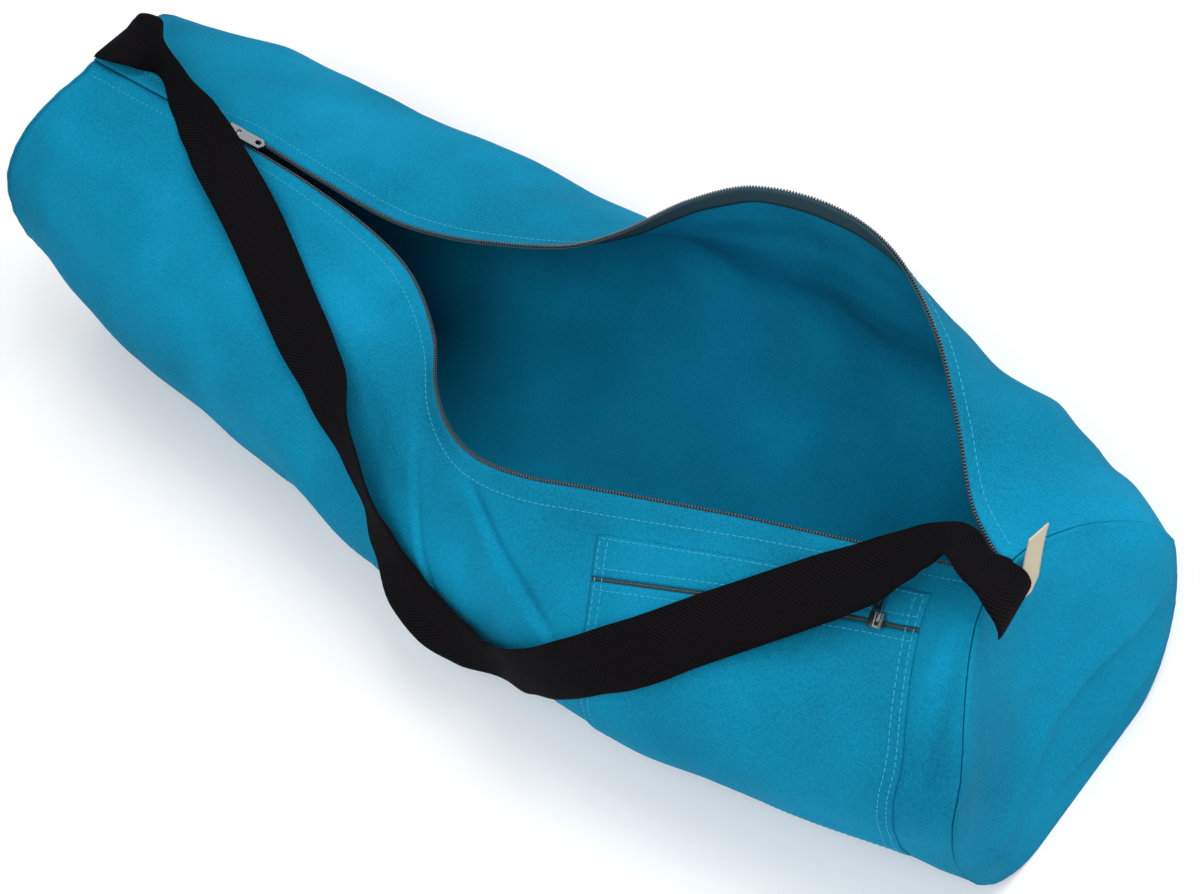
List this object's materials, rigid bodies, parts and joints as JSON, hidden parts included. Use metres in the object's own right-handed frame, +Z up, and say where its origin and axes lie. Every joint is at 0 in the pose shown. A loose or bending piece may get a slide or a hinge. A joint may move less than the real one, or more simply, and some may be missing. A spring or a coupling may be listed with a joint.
{
  "type": "yoga mat bag",
  "caption": "Soft cloth drum bag lying on its side with its long top zip drawn part open, a zipped front pocket and a webbing shoulder strap.",
  "frame": {"origin": "middle of the flat patch of cloth that the bag rests on, halfway between its ends", "axes": "+X along the bag to the end with the label, +Y to the side away from the pocket, +Z up"},
  "size_m": [0.8172, 0.3076, 0.2245],
  "materials": {
    "canvas": "matt woven cotton canvas",
    "webbing": "matt woven webbing",
    "zip_tape": "matt woven tape",
    "zip_coil": "satin nylon",
    "zip_metal": "bright nickel plate",
    "cotton": "natural woven cotton"
  },
  "bodies": {
    "bag": {"body_wall": "canvas", "end_panel_far": "canvas", "end_panel_near": "canvas", "zip_tape_back": "zip_tape", "zip_tape_front": "zip_tape", "zip_coil_back": "zip_coil", "zip_coil_front": "zip_coil", "main_slider": "zip_metal", "strap": "webbing", "label_tab": "cotton", "pocket_band": "canvas", "pocket_panel": "canvas", "pocket_zip_tape": "zip_tape", "pocket_zip_coil": "zip_coil", "pocket_slider": "zip_metal"},
    "main_pull": {"main_pull": "zip_metal"},
    "pocket_pull": {"pocket_pull": "zip_metal"}
  },
  "joints": [
    {"name": "main_pull_hinge", "type": "hinge", "parent": "bag", "child": "main_pull", "pos_m": [-0.26024, 0.02674, 0.16424], "axis": [0.0763, -0.997, -0.0094], "range_deg": [0, 50]},
    {"name": "pocket_pull_hinge", "type": "hinge", "parent": "bag", "child": "pocket_pull", "pos_m": [0.32505, -0.03876, 0.17083], "axis": [0.9299, 0.1886, 0.3157], "range_deg": [0, 42]}
  ]
}
